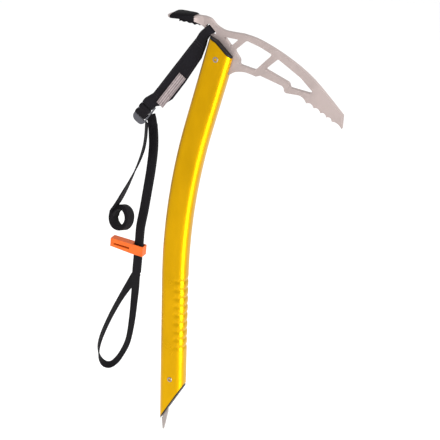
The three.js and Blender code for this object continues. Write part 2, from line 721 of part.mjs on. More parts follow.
// Slider: a sleeve round both layers of tape, with a blind slot in the handle beside it
function makeSlider() {
  const { height, depth, wall, passage, handle, step } = SLIDER;
  const frame = new THREE.Group();
  frame.position.set(...onRun(SLIDER_AT, 0));
  frame.rotation.y = Math.atan2(RUN_TOP.x - RUN_FOOT.x, RUN_TOP.z - RUN_FOOT.z);
  group.add(frame);
  const reach = passage / 2 + wall;
  const top = height / 2;
  const outline = polygon([
    [-reach - handle, top], [-reach - handle, -top + step], [-reach, -top], [reach, -top], [reach, top],
  ]);
  const way = box(-passage / 2, passage / 2, -depth / 2 + wall, depth / 2 - wall, -height, height);
  const { margin, end, foot, top: roof } = SLIDER_POCKET;
  const pocket = box(-reach - handle + end, -reach - margin, -depth, depth / 2 - wall, foot, roof);
  add('slider', slab(outline, depth).subtract(way).subtract(pocket), ORANGE(), frame);
}

makeShaft();
makeHead();
makeHeadPlug();
makeRivet('head_rivet', 0, 0);
makeTopPad();
makeLowPad();
makePadScrews();
makeSpike();
makeSpikePlug();
makeRivet('spike_rivet', SPIKE_RIVET.x, SPIKE_RIVET.z);
makeSling();
makeLabel();
makeBuckle();
makeWovenTape();
makeTape();
makeRoll();
makeSlider();

export default group;
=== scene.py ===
"""Looks for an ice axe with a sewn leash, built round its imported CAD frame. Metres, +Z up."""

import math

import bmesh
import bpy
import numpy as np
from mathutils import Matrix, Vector


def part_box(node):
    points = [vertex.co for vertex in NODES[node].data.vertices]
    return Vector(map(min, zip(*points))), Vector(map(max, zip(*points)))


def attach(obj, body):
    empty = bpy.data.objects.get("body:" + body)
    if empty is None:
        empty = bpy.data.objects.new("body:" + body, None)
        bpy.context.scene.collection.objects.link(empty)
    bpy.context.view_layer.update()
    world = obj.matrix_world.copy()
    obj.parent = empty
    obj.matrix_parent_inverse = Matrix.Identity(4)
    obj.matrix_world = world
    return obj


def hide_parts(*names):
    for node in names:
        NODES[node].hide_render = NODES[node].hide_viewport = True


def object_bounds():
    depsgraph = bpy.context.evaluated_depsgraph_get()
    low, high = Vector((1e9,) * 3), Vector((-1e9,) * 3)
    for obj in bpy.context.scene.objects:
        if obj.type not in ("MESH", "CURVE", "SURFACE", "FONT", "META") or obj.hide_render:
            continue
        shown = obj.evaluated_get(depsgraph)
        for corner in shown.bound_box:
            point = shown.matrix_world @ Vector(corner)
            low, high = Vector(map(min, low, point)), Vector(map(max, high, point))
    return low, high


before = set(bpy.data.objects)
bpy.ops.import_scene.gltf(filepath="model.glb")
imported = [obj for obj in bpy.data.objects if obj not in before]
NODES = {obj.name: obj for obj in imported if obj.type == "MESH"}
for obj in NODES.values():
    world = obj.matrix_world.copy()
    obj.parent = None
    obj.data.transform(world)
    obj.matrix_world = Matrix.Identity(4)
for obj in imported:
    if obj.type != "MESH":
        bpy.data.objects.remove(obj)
START_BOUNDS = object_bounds()
MM = 0.001
Y = Vector((0, 1, 0))

# Sizes shared with the CAD model
LEAN = math.radians(15)
LOWER_X = -45 * MM
BEND_RADIUS = 720 * MM
BEND_START = LOWER_X / math.tan(LEAN) - BEND_RADIUS * math.tan(LEAN / 2)
SHAFT_DEPTH = 30 * MM
SHAFT_CORNER = 8 * MM
SHAFT_WALL = 2 * MM
TOP_CUT = {"height": 16.3 * MM, "slope": -0.933, "back_slope": -0.41, "bend": -1 * MM}
FOOT_CUT = {"height": -343 * MM, "slope": 1.767}
HEAD_RIVET = (0, 0)
SPIKE_RIVET = (-45 * MM, -390 * MM)
TAPE_WIDTH = 12 * MM
BARS = (111 * MM, 119 * MM, 127 * MM)
SLING_TURN = math.radians(36)
SLOT_TURN = math.radians(45)
BRIDGE = Vector((-11.725, 0, 26.225)) * MM
ROLL = {
    "x": -113.5 * MM, "z": -201 * MM, "inner": 8.4 * MM, "outer": 15.6 * MM,
    "pitch": math.radians(16), "yaw": math.radians(-12),
}

# Sizes of the visual model alone; its cloth is a little thinner than the CAD's
TAPE = 1.5 * MM
SLING_THICK = 1.9 * MM
SLING_LAYER = 1.15 * MM
ROLL_TURNS = 4.1
ROLL_START = math.radians(150)
HEAD_WAY = {"half": 2.8 * MM, "x": (8 * MM, 30 * MM), "z": (-16.5 * MM, 30 * MM)}
WEAVE = {"reach": 2.55 * MM, "left": -10.8 * MM, "right": 3.3 * MM, "between": -8.6 * MM}
LABEL = {"start": 57.5, "length": 44.5, "edge": 2.3, "width": 8.9, "lift": 2.45}
GRIP = {"top": -261 * MM, "pitch": 10.6 * MM, "count": 9, "half": 1.9 * MM, "depth": 0.8 * MM}
DIMPLE = {
    "heights": (-250.8 * MM, -356.8 * MM), "forward": 10 * MM, "across": 6.5 * MM,
    "radius": 2.2 * MM, "depth": 0.5 * MM,
}
CAMERA = {
    "azimuth": math.radians(23), "elevation": math.radians(23.5), "roll": math.radians(2.1),
    "distance": 1.22, "target": Vector((0.00729, 0, -0.1797)), "lens": 92.1, "sensor": 36,
}
LIGHT_TARGET = Vector((0, 0, -0.2))
FLOOR_DROP = 0.35
FLOOR_REACH = 14


# Meshes

def link(name, mesh, material, slot, body, *replaced):
    """Puts a finished mesh in the scene, on its body, in place of the CAD nodes named."""
    mesh.materials.append(material)
    piece = bpy.data.objects.new(name, mesh)
    bpy.context.scene.collection.objects.link(piece)
    if body:
        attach(piece, body)
    if replaced:
        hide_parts(*replaced)
    return piece


def grid_mesh(name, rings, close_rings=True, caps=True, close_path=False, uvs=None, sharp=35):
    """Skin over rows of points. uvs holds one (u, v) for each point of each ring."""
    rows, count = len(rings), len(rings[0])
    vertices = [tuple(p) for ring in rings for p in ring]
    faces = []
    for r in range(rows if close_path else rows - 1):
        for i in range(count if close_rings else count - 1):
            j = (i + 1) % count
            s = (r + 1) % rows
            faces.append((r * count + i, r * count + j, s * count + j, s * count + i))
    if caps and not close_path:
        faces.append(tuple(reversed(range(count))))
        faces.append(tuple((rows - 1) * count + i for i in range(count)))
    mesh = bpy.data.meshes.new(name)
    mesh.from_pydata(vertices, [], faces)
    mesh.update()
    if uvs:
        flat = [uv for ring in uvs for uv in ring]
        layer = mesh.uv_layers.new(name="tape")
        for loop in mesh.loops:
            layer.data[loop.index].uv = flat[loop.vertex_index]
    face_out(mesh)
    smooth(mesh, sharp)
    return mesh


def face_out(mesh):
    """Turns every face to point out of the solid."""
    work = bmesh.new()
    work.from_mesh(mesh)
    bmesh.ops.recalc_face_normals(work, faces=work.faces)
    work.to_mesh(mesh)
    work.free()


def smooth(mesh, sharp=35):
    mesh.shade_smooth()
    mesh.set_sharp_from_angle(angle=math.radians(sharp))


def join_meshes(name, meshes):
    work = bmesh.new()
    for mesh in meshes:
        work.from_mesh(mesh)
    joined = bpy.data.meshes.new(name)
    work.to_mesh(joined)
    work.free()
    return joined


def cut(piece, cutters):
    """Cuts meshes out of a piece for good."""
    for mesh in cutters:
        tool = bpy.data.objects.new("cutter", mesh)
        bpy.context.scene.collection.objects.link(tool)
        step = piece.modifiers.new("cut", "BOOLEAN")
        step.object = tool
        step.solver = "EXACT"
        bpy.context.view_layer.update()
        made = piece.evaluated_get(bpy.context.evaluated_depsgraph_get())
        result = bpy.data.meshes.new_from_object(made)
        piece.modifiers.clear()
        piece.data = result
        bpy.data.objects.remove(tool)
    smooth(piece.data, 30)


def round_edges(piece, width, segments=3, angle=38):
    step = piece.modifiers.new("rounded edges", "BEVEL")
    step.width = width
    step.segments = segments
    step.limit_method = "ANGLE"
    step.angle_limit = math.radians(angle)
    step.harden_normals = True
    step.miter_outer = "MITER_ARC"


def box_mesh(lo, hi):
    work = bmesh.new()
    bmesh.ops.create_cube(work, size=1)
    size = Vector(hi) - Vector(lo)
    middle = (Vector(hi) + Vector(lo)) / 2
    for v in work.verts:
        v.co = Vector([c * s for c, s in zip(v.co, size)]) + middle
    mesh = bpy.data.meshes.new("box")
    work.to_mesh(mesh)
    work.free()
    return mesh


def lathe(name, profile):
    """A turned piece about Y, from (radius, y) points that start and end on the axis."""
    steps = 48
    rings = []
    for k in range(steps):
        a = 2 * math.pi * k / steps
        rings.append([(r * math.cos(a), y, r * math.sin(a)) for r, y in profile])
    mesh = grid_mesh(name, rings, close_rings=False, caps=False, close_path=True, sharp=32)
    work = bmesh.new()
    work.from_mesh(mesh)
    bmesh.ops.remove_doubles(work, verts=work.verts, dist=1e-6)
    work.to_mesh(mesh)
    work.free()
    face_out(mesh)
    smooth(mesh, 32)
    return mesh


# Materials

def shader(name, color, roughness, metallic=0.0, **sockets):
    material = bpy.data.materials.new(name)
    material.use_nodes = True
    tree = material.node_tree
    main = tree.nodes["Principled BSDF"]
    main.inputs["Base Color"].default_value = (*color, 1)
    main.inputs["Roughness"].default_value = roughness
    main.inputs["Metallic"].default_value = metallic
    for socket, value in sockets.items():
        main.inputs[socket.replace("_", " ")].default_value = value
    return material, tree, main


def node(tree, kind, **inputs):
    made = tree.nodes.new(kind)
    for name, value in inputs.items():
        made.inputs[name.replace("_", " ")].default_value = value
    return made


def math_node(tree, operation, a, b=None):
    made = tree.nodes.new("ShaderNodeMath")
    made.operation = operation
    for socket, value in zip(made.inputs, (a, b)):
        if value is None:
            continue
        if hasattr(value, "links"):
            tree.links.new(value, socket)
        else:
            socket.default_value = value
    return made.outputs[0]


def noise(tree, scale, stretch=(1, 1, 1), detail=6.0, turn=(0, 0, 0)):
    """Noise in the piece's own coordinates, drawn out along an axis by a small stretch there."""
    place = tree.nodes.new("ShaderNodeTexCoord")
    mapping = tree.nodes.new("ShaderNodeMapping")
    mapping.inputs["Scale"].default_value = stretch
    mapping.inputs["Rotation"].default_value = turn
    tree.links.new(place.outputs["Object"], mapping.inputs["Vector"])
    made = node(tree, "ShaderNodeTexNoise", Scale=scale, Detail=detail, Roughness=0.6)
    tree.links.new(mapping.outputs[0], made.inputs["Vector"])
    return made.outputs[0]


def spread(tree, value, low, high, start=0.3, end=0.7):
    made = tree.nodes.new("ShaderNodeMapRange")
    made.inputs["From Min"].default_value = start
    made.inputs["From Max"].default_value = end
    made.inputs["To Min"].default_value = low
    made.inputs["To Max"].default_value = high
    tree.links.new(value, made.inputs["Value"])
    return made.outputs[0]


def tint(tree, main, value, dark, light):
    """Base colour that runs from dark to light with a value from 0 to 1."""
    made = tree.nodes.new("ShaderNodeMix")
    made.data_type = "RGBA"
    made.inputs["A"].default_value = (*dark, 1)
    made.inputs["B"].default_value = (*light, 1)
    tree.links.new(value, made.inputs["Factor"])
    tree.links.new(made.outputs["Result"], main.inputs["Base Color"])


def bump(tree, main, height, strength, distance):
    made = node(tree, "ShaderNodeBump", Strength=strength, Distance=distance)
    tree.links.new(height, made.inputs["Height"])
    last = main.inputs["Normal"]
    if last.links:
        tree.links.new(last.links[0].from_socket, made.inputs["Normal"])
    tree.links.new(made.outputs[0], last)


def scaled(color, factor):
    return tuple(c * factor for c in color)


def metal(name, color, roughness, grain, grain_depth, stretch=(1, 1, 1), metallic=1.0):
    """Metal with fine grain, faint scratches and uneven handling marks."""
    material, tree, main = shader(name, color, roughness, metallic)
    fine = noise(tree, grain, stretch)
    marks = noise(tree, 45, (1, 1, 0.4), 8)
    blotches = noise(tree, 14, detail=3)
    scratches = noise(tree, 260, (1, 1, 0.03), 3, (0.2, 0.35, 0.1))
    mix = math_node(tree, "MULTIPLY_ADD", marks, 0.6)
    tree.links.new(blotches, mix.node.inputs[2])
    uneven = spread(tree, mix, roughness - 0.06, roughness + 0.1, 0.5, 1.1)
    tree.links.new(uneven, main.inputs["Roughness"])
    tint(tree, main, spread(tree, marks, 0, 1), scaled(color, 0.9), scaled(color, 1.06))
    bump(tree, main, fine, 0.35, grain_depth)
    bump(tree, main, spread(tree, scratches, 0, 1, 0.66, 0.74), 0.12, 0.03 * MM)
    return material


def plastic(name, color, roughness, **more):
    """Moulded plastic: fine spark-eroded grain, paler where it has been rubbed."""
    material, tree, main = shader(name, color, roughness, 0, **more)
    rubbed = noise(tree, 60, detail=8)
    tree.links.new(spread(tree, rubbed, roughness - 0.1, roughness + 0.12), main.inputs["Roughness"])
    tint(tree, main, spread(tree, rubbed, 0, 1), scaled(color, 0.85), scaled(color, 1.25))
    bump(tree, main, noise(tree, 2600, detail=2), 0.2, 0.04 * MM)
    return material


def tape_axes(tree):
    """Distance along a tape and distance across it, from its own map."""
    place = tree.nodes.new("ShaderNodeUVMap")
    place.uv_map = "tape"
    parts = tree.nodes.new("ShaderNodeSeparateXYZ")
    tree.links.new(place.outputs[0], parts.inputs[0])
    return parts.outputs[0], parts.outputs[1]


def woven(name, color, rib, pick, depth):
    """Woven tape, from its own length and width: chevron twill across its whole width."""
    roughness = 0.75
    material, tree, main = shader(name, color, roughness, 0, Specular_IOR_Level=0.1)
    along, across = tape_axes(tree)
    side = math_node(tree, "ABSOLUTE", across)
    rows = math_node(tree, "DIVIDE", along, pick)
    slant = math_node(tree, "ADD", rows, math_node(tree, "DIVIDE", side, rib * 1.6))
    twill = math_node(tree, "SINE", math_node(tree, "MULTIPLY", slant, 2 * math.pi))
    ribs = math_node(tree, "SINE", math_node(tree, "MULTIPLY", across, 2 * math.pi / rib))
    strong, weak = math_node(tree, "MULTIPLY", twill, 0.6), math_node(tree, "MULTIPLY", ribs, 0.5)
    height = math_node(tree, "ADD", strong, weak)
    fuzz = noise(tree, 1800, detail=4)
    worn = noise(tree, 40, detail=6)
    total = math_node(tree, "ADD", height, math_node(tree, "MULTIPLY", fuzz, 0.5))
    # Base colour follows the weave's height: painted shade in its low spots, plus random wear from
    # the worn noise.
    shade = spread(tree, height, 0.2, 0.7, -1, 1)
    light = math_node(tree, "ADD", shade, spread(tree, worn, -0.2, 0.3))
    tint(tree, main, light, scaled(color, 0.55), scaled(color, 1.7))
    tree.links.new(spread(tree, worn, roughness - 0.08, roughness + 0.1), main.inputs["Roughness"])
    bump(tree, main, total, 0.7, depth)
    return material


def creased(name, color, pitch, roughness):
    """Thin satin with painted shade in the creases that run down its length, and darker where it is
    handled.
    """
    material, tree, main = shader(name, color, roughness, 0, Specular_IOR_Level=0.2)
    across = tape_axes(tree)[1]
    wander = math_node(tree, "MULTIPLY", noise(tree, 60, detail=4), 1.4)
    turn = math_node(tree, "MULTIPLY", across, 2 * math.pi / pitch)
    crease = math_node(tree, "SINE", math_node(tree, "ADD", turn, wander))
    worn = noise(tree, 220, detail=6)
    # Darker in the crease troughs is painted shade; the worn noise adds random handling marks.
    shade = spread(tree, crease, 0.05, 0.8, -0.9, 0.1)
    light = math_node(tree, "ADD", shade, spread(tree, worn, -0.2, 0.3))
    tint(tree, main, light, scaled(color, 0.45), scaled(color, 1.35))
    bump(tree, main, crease, 0.6, 0.1 * MM)
    bump(tree, main, noise(tree, 2400, detail=2), 0.3, 0.03 * MM)
    return material


GOLD = metal("gold_anodised", (0.57, 0.305, 0.003), 0.3, 900, 0.012 * MM, (1, 1, 0.02))
HEAD_METAL = metal("blasted_steel", (0.37, 0.307, 0.292), 0.5, 1500, 0.03 * MM, metallic=0.8)
BRIGHT = metal("bright_steel", (0.31, 0.275, 0.26), 0.24, 700, 0.01 * MM, (1, 1, 0.05))
BUCKLE_METAL = metal("polished_alloy", (0.125, 0.125, 0.14), 0.2, 600, 0.01 * MM)
BLACK = plastic("black_plastic", (0.004, 0.0038, 0.0045), 0.36, Specular_IOR_Level=0.2)
RUBBER = plastic("black_rubber", (0.0045, 0.0042, 0.005), 0.6, Specular_IOR_Level=0.04)
ORANGE = plastic("orange_plastic", (0.52, 0.088, 0.010), 0.42, Specular_IOR_Level=0.2)
TAPE_CLOTH = woven("black_tape", (0.0046, 0.0040, 0.0052), 0.9 * MM, 1.3 * MM, 0.12 * MM)
SLING_CLOTH = woven("black_webbing", (0.0050, 0.0043, 0.0060), 1.3 * MM, 1.8 * MM, 0.16 * MM)
LABEL_CLOTH = creased("label_satin", (0.20, 0.165, 0.166), 2.3 * MM, 0.6)
THREAD = plastic("black_thread", (0.012, 0.010, 0.012), 0.7, Specular_IOR_Level=0.2)


# Camera, lights and floor

def look_through():
    """Camera at the catalogue angle, rolled so that the lower shaft stands as it is pictured."""
    azimuth, elevation = CAMERA["azimuth"], CAMERA["elevation"]
    level = math.cos(elevation)
    away = Vector((math.sin(azimuth) * level, -math.cos(azimuth) * level, math.sin(elevation)))
    camera = bpy.data.objects.new("camera", bpy.data.cameras.new("camera"))
    camera.data.lens = CAMERA["lens"]
    camera.data.sensor_width = CAMERA["sensor"]
    camera.data.clip_end = 60
    place = Matrix.Translation(CAMERA["target"] + away * CAMERA["distance"])
    turn = away.to_track_quat("Z", "Y").to_matrix().to_4x4()
    camera.matrix_world = place @ turn @ Matrix.Rotation(CAMERA["roll"], 4, "Z")
    bpy.context.scene.collection.objects.link(camera)
    bpy.context.scene.camera = camera


def area_light(name, place, width, height, power):
    light = bpy.data.lights.new(name, "AREA")
    light.shape = "RECTANGLE"
    light.size = width
    light.size_y = height
    light.energy = power
    lamp = bpy.data.objects.new(name, light)
    lamp.location = place
    lamp.rotation_euler = (Vector(place) - LIGHT_TARGET).to_track_quat("Z", "Y").to_euler()
    bpy.context.scene.collection.objects.link(lamp)


def light_studio():
    world = bpy.data.worlds.new("studio")
    world.use_nodes = True
    world.node_tree.nodes["Background"].inputs["Color"].default_value = (1, 1, 1, 1)
    world.node_tree.nodes["Background"].inputs["Strength"].default_value = 1.0
    bpy.context.scene.world = world
    bpy.context.scene.view_settings.view_transform = "Standard"
    area_light("key", (-1.1, -1.6, 1.5), 1.2, 1.2, 16)
    area_light("strip", (1.1, -0.68, -0.3), 0.6, 1.5, 36)
    area_light("back", (0.9, 1.8, 1.3), 1.4, 1.4, 10)


def lay_floor():
    """Wide pale floor, well below the spike, because the axe is held at its head."""
    bottom = START_BOUNDS[0].z - FLOOR_DROP
    sides = ((-1, -1), (1, -1), (1, 1), (-1, 1))
    corners = [(x * FLOOR_REACH, y * FLOOR_REACH, bottom) for x, y in sides]
    mesh = bpy.data.meshes.new("floor")
    mesh.from_pydata(corners, [], [(0, 1, 2, 3)])
    material, _, _ = shader("floor", (0.98, 0.98, 0.98), 0.9)
    mesh.materials.append(material)
    floor = bpy.data.objects.new("floor", mesh)
    bpy.context.scene.collection.objects.link(floor)


# Tape and webbing

def curve_span(four, count):
    """Points of a smooth curve from the second of four points up to the third."""
    knots = [0.0]
    for a, b in zip(four, four[1:]):
        knots.append(knots[-1] + math.sqrt((b - a).length))
    t0, t1, t2, t3 = knots
    p0, p1, p2, p3 = four
    made = []
    for i in range(count):
        t = t1 + (t2 - t1) * i / count
        a1 = p0 * ((t1 - t) / (t1 - t0)) + p1 * ((t - t0) / (t1 - t0))
        a2 = p1 * ((t2 - t) / (t2 - t1)) + p2 * ((t - t1) / (t2 - t1))
        a3 = p2 * ((t3 - t) / (t3 - t2)) + p3 * ((t - t2) / (t3 - t2))
        b1 = a1 * ((t2 - t) / (t2 - t0)) + a2 * ((t - t0) / (t2 - t0))
        b2 = a2 * ((t3 - t) / (t3 - t1)) + a3 * ((t - t1) / (t3 - t1))
        made.append(b1 * ((t2 - t) / (t2 - t1)) + b2 * ((t - t1) / (t2 - t1)))
    return made


def through(points, step):
    """Even samples of a smooth curve through points, each one's place among them, and the length."""
    pts = [Vector(p) for p in points]
    pts = [2 * pts[0] - pts[1]] + pts + [2 * pts[-1] - pts[-2]]
    fine, marks = [], []
    per = 40
    for k in range(len(points) - 1):
        fine += curve_span(pts[k:k + 4], per)
        marks += [k + i / per for i in range(per)]
    fine.append(pts[-2])
    marks.append(len(points) - 1)
    xyz = np.array(fine)
    run = np.concatenate([[0], np.cumsum(np.linalg.norm(np.diff(xyz, axis=0), axis=1))])
    even = np.linspace(0, run[-1], int(round(run[-1] / step)) + 1)
    samples = [Vector([np.interp(s, run, xyz[:, c]) for c in range(3)]) for s in even]
    return samples, np.interp(even, run, marks), float(run[-1])


def eased(values, at, step):
    """Values given at the points, read at the samples and smoothed over 6 mm each way."""
    reach = int(6 * MM / step)
    kernel = np.ones(2 * reach + 1) / (2 * reach + 1)
    read = np.interp(at, range(len(values)), values)
    return np.convolve(np.pad(read, reach, mode="edge"), kernel, mode="valid")


def tape_section(left, right, thickness, steps=12):
    """Outline of a woven tape's cut end: (across, up), with rounded, slightly fuller edges."""
    r = thickness / 2
    top, bottom = [], []
    for i in range(steps + 1):
        x = left + r + (right - left - 2 * r) * i / steps
        edge = min(x - left, right - x) / (2.2 * MM)
        full = r * (1 + 0.1 * math.exp(-edge * edge))
        top.append((x, full))
        bottom.append((x, -full))
    turn = [math.pi / 2 - math.pi * k / 6 for k in range(1, 6)]
    nose = [(right - r + r * math.cos(a), r * math.sin(a)) for a in turn]
    tail = [(left + r - r * math.cos(a), -r * math.sin(a)) for a in turn]
    return top + nose + list(reversed(bottom)) + tail


def ribbon_mesh(name, centres, turns):
    """The narrow tape along its centreline. Turn 0 lays its width in the plane of the axe."""
    section = tape_section(-TAPE_WIDTH / 2, TAPE_WIDTH / 2, TAPE)
    rings, uvs = [], []
    run = 0.0
    for i, p in enumerate(centres):
        before, after = centres[max(i - 1, 0)], centres[min(i + 1, len(centres) - 1)]
        tangent = (after - before).normalized()
        normal = tangent.cross(Y).normalized()
        side = normal.cross(tangent)
        across = normal * math.cos(turns[i]) + side * math.sin(turns[i])
        up = across.cross(tangent)
        rings.append([p + across * a + up * b for a, b in section])
        uvs.append([(run, a) for a, b in section])
        if i + 1 < len(centres):
            run += (centres[i + 1] - p).length
    return grid_mesh(name, rings, uvs=uvs, sharp=60)


def tape(name, route, body, replaced):
    """A free stretch of the leash's narrow tape, at its real length."""
    step = 1.2 * MM
    spots = [Vector(p[:3]) * MM for p in route]
    centres, at, length = through(spots, step)
    turns = np.radians(eased([p[3] for p in route], at, step))
    piece = link(name, ribbon_mesh(name, centres, turns), TAPE_CLOTH, "webbing", body, *replaced)


# Where the two layers of the leash lie together: (x, z) in mm
RUN = [(-89.3, -208), (-91.1, -229.3), (-92.9, -250.6), (-94.2, -266)]

# Each stretch of tape: (x, y, z) in mm, then how far its width leans out of the plane of the axe
MAIN = [
    (-80.7, 5.0, -75.3, 0), (-79.3, 4.9, -79.5, -4), (-77.4, 4.2, -88, -8), (-76.3, 3, -98, -12),
    (-75.5, 1.6, -112, -14), (-77.3, 0, -136, -15), (-81, -0.95, -161.8, -15),
    (-85.2, -0.95, -186.6, -15), *((x, -0.95, z, -15) for x, z in RUN), (-95, -1, -283, -18),
    (-96.9, -0.6, -302.5, -24), (-100, -0.2, -329.6, -30), (-105.2, 0, -357.8, -40),
    (-111.2, 0, -372.9, -48), (-120.5, 0, -389, -52), (-129.6, 0, -397.5, -66),
    (-137.3, 0, -398.3, -92), (-143.3, 0, -392.6, -116), (-145.3, 0, -382, -126),
    (-143, 0.5, -367.6, -128), (-131.9, 2, -337.6, -128), (-117.8, 3.6, -307.6, -130),
    (-107.6, 4.2, -289, -142), (-99.4, 3, -275.5, -158), (-96, 1.9, -270.5, -164),
    (-94.5, 1.3, -266.3, -165),
]
RETURN = [
    (-78.4, 6.7, -86, -8), (-76.3, 5.1, -99, -12), (-75.5, 3.6, -112, -14), (-77.3, 2, -136, -15),
    (-81, 1, -161.8, -15), (-85.2, 1, -186.6, -15), *((x, 1.0, z, -15) for x, z in RUN[:3]),
    (-94.1, 1.0, -264.6, -15),
]
TAIL = [
    (-80.9, -3.2, -82.5, -50), (-81.1, -3.4, -86, -53), (-81.4, -3.6, -92, -53),
    (-82.2, -3.4, -100, -54), (-84.1, -2.8, -110, -56), (-87.1, -2, -119.3, -60),
    (-91.4, -1.2, -130.2, -66), (-97.4, -0.5, -143.3, -74), (-103.8, 0, -156.6, -84),
    (-110.5, 0, -169.9, -95), (-117.1, 0.1, -182.1, -99), (-121.7, 0.2, -189.4, -98),
    (-125.2, 0.2, -194.8, -97),
]


def hang_tape():
    woven_part = weave_tape()
    roll = wind_roll()
    tape("leash_tape", MAIN, "leash", ("tape_main", "wrist_loop"))
    tape("leash_tape_back", RETURN, "leash", ("tape_return",))
    tape("tail_tape", TAIL, "tail", ("tape_tail",))


def wind_roll():
    """The spare tape, wound up: a spiral that starts where the tail meets it."""
    centre = Vector((ROLL["x"], 0, ROLL["z"]))
    tilt = Matrix.Rotation(ROLL["yaw"], 3, "Z") @ Matrix.Rotation(-ROLL["pitch"], 3, "X")
    axis = tilt @ Y
    outer = ROLL["outer"] - TAPE / 2
    inner = ROLL["inner"] + TAPE / 2
    centres = []
    steps = 320
    for i in range(steps + 1):
        share = i / steps
        angle = ROLL_START + 2 * math.pi * ROLL_TURNS * share
        radius = outer + (inner - outer) * share
        squeeze = 1 - 0.07 * math.cos(angle) ** 2
        spot = Vector((radius * math.cos(angle) * squeeze, 0, radius * math.sin(angle)))
        drift = axis * (0.5 * MM * math.sin(3.1 * angle) * share)
        centres.append(centre + tilt @ spot + drift)
    section = tape_section(-TAPE_WIDTH / 2, TAPE_WIDTH / 2, TAPE * 0.98)
    rings, uvs = [], []
    run = 0.0
    for i, p in enumerate(centres):
        tangent = (centres[min(i + 1, steps)] - centres[max(i - 1, 0)]).normalized()
        up = axis.cross(tangent).normalized()
        rings.append([p + axis * a + up * b for a, b in section])
        uvs.append([(run, a) for a, b in section])
        if i < steps:
            run += (centres[i + 1] - p).length
    mesh = grid_mesh("rolled_tape", rings, uvs=uvs, sharp=60)
    return link("rolled_tape", mesh, TAPE_CLOTH, "webbing", "tail", "tail_roll")


def sling_turn(s):
    """The sling leaves the slot square to it, then leans a little further over."""
    share = min(max((s - 4 * MM) / (12 * MM), 0), 1)
    share = share * share * (3 - 2 * share)
    return SLOT_TURN + (SLING_TURN - SLOT_TURN) * share


def sling_point(s, w, y):
    """The point s down the sling from the head, w across it towards the pick and y sideways."""
    turn = sling_turn(s)
    down = Vector((-math.sin(turn), 0, -math.cos(turn)))
    across = Vector((math.cos(turn), 0, -math.sin(turn)))
    return BRIDGE + down * s + across * w + Y * y


# The webbing's edges, in mm: distance down from the head, left edge, right edge
SLING_EDGES = [
    (-8, -4.8, 4.6), (-3, -5.0, 4.5), (3, -5.4, 3.9), (9, -5.9, 4.6), (15, -6.3, 6.5),
    (29, -6.6, 10.8), (62, -6.6, 13), (88, -6.6, 13.4), (98, -6.8, 10.4), (104, -9, 7),
    (108, -10.3, 3.8), (116, -10.6, 3.7),
]


def sling_edges(s):
    """Left and right edge of the webbing at a distance down from the head."""
    along, left, right = zip(*SLING_EDGES)
    at = s / MM
    return np.interp(at, along, left) * MM, np.interp(at, along, right) * MM


def half_circle(middle, radius, side):
    """(s, y) round half a circle that bulges away from the head, or towards it for side -1."""
    turns = [math.pi * k / 12 for k in range(13)]
    return [(middle + side * radius * math.sin(a), -side * radius * math.cos(a)) for a in turns]


def sling_path():
    """(s, y) round the closed band: loop on the first bar, back run, top loop, front run."""
    back = [(104 * MM, SLING_LAYER * 1.3)]
    back += [(s * MM, SLING_LAYER) for s in (98, 60, 18)]
    back += [(9 * MM, 2.2 * MM)]
    foot_loop = half_circle(BARS[0], 2.8 * MM, 1)
    top_loop = half_circle(0.2 * MM, 4.25 * MM, -1)
    return foot_loop + back + top_loop + [(s, -y) for s, y in reversed(back)]


def make_sling():
    """The doubled webbing as one closed band, with its stitching."""
    knots = [Vector((s, 0, y)) for s, y in sling_path()]
    centres = through(knots + [knots[0]], 1.0 * MM)[0][:-1]
    count = len(centres)
    rings, uvs = [], []
    run = 0.0
    for i, p in enumerate(centres):
        tangent = (centres[(i + 1) % count] - centres[i - 1]).normalized()
        out = Vector((tangent.z, 0, -tangent.x))
        section = tape_section(*sling_edges(p.x), SLING_THICK, 18)
        wave = 0.25 * MM * math.sin(p.x / (9 * MM)) * (1 if p.z > 0 else -1)
        ring = []
        for a, b in section:
            y = p.z + out.z * b + wave * (a / (13 * MM)) ** 2
            ring.append(sling_point(p.x + out.x * b, a, y))
        rings.append(ring)
        uvs.append([(run, a) for a, b in section])
        run += (centres[(i + 1) % count] - p).length
    mesh = grid_mesh("sling_webbing", rings, caps=False, close_path=True, uvs=uvs, sharp=60)
    link("sling_webbing", mesh, SLING_CLOTH, "webbing", "sling", "sling")
    stitch_sling()


def woven_roll(bar):
    """The tape's turn round one bar of the buckle, as one closed band."""
    left, right = WEAVE["left"], WEAVE["right"]
    section = tape_section(left, right, TAPE, 14)
    rings, uvs = [], []
    steps = 40
    for k in range(steps):
        a = 2 * math.pi * k / steps
        ring = []
        for across, lift in section:
            edge = min(across - left, right - across) / (1.6 * MM)
            reach = WEAVE["reach"] + lift - 0.45 * MM * math.exp(-edge * edge)
            ring.append(sling_point(bar + reach * math.sin(a), across, reach * math.cos(a)))
        rings.append(ring)
        uvs.append([(WEAVE["reach"] * a, across) for across, lift in section])
    return grid_mesh("roll", rings, caps=False, close_path=True, uvs=uvs, sharp=60)


def weave_tape():
    """Tape woven round the second and third bars, with the stretch between them behind."""
    section = tape_section(WEAVE["between"], WEAVE["right"], TAPE)
    rings, uvs = [], []
    for s in np.linspace(BARS[1], BARS[2], 9):
        rings.append([sling_point(s, across, lift - 2.6 * MM) for across, lift in section])
        uvs.append([(s, across) for across, lift in section])
    between = grid_mesh("between", rings, uvs=uvs, sharp=60)
    mesh = join_meshes("woven_tape", [woven_roll(BARS[1]), woven_roll(BARS[2]), between])
    smooth(mesh, 60)
    return link("woven_tape", mesh, TAPE_CLOTH, "webbing", "buckle", "tape_in_buckle")


def stitch_mesh(start, end, lift):
    """One lock stitch: a short thread that dips into the cloth at both ends."""
    radius = 0.28 * MM
    side = (end - start).normalized().cross(lift)
    rings = []
    for k in range(7):
        share = k / 6
        rise = 0.25 * MM * math.sin(math.pi * share) - 0.12 * MM
        p = start.lerp(end, share) + lift * rise
        ring = []
        for j in range(8):
            a = 2 * math.pi * j / 8
            ring.append(p + side * (radius * math.cos(a)) + lift * (radius * math.sin(a)))
        rings.append(ring)
    return grid_mesh("stitch", rings)


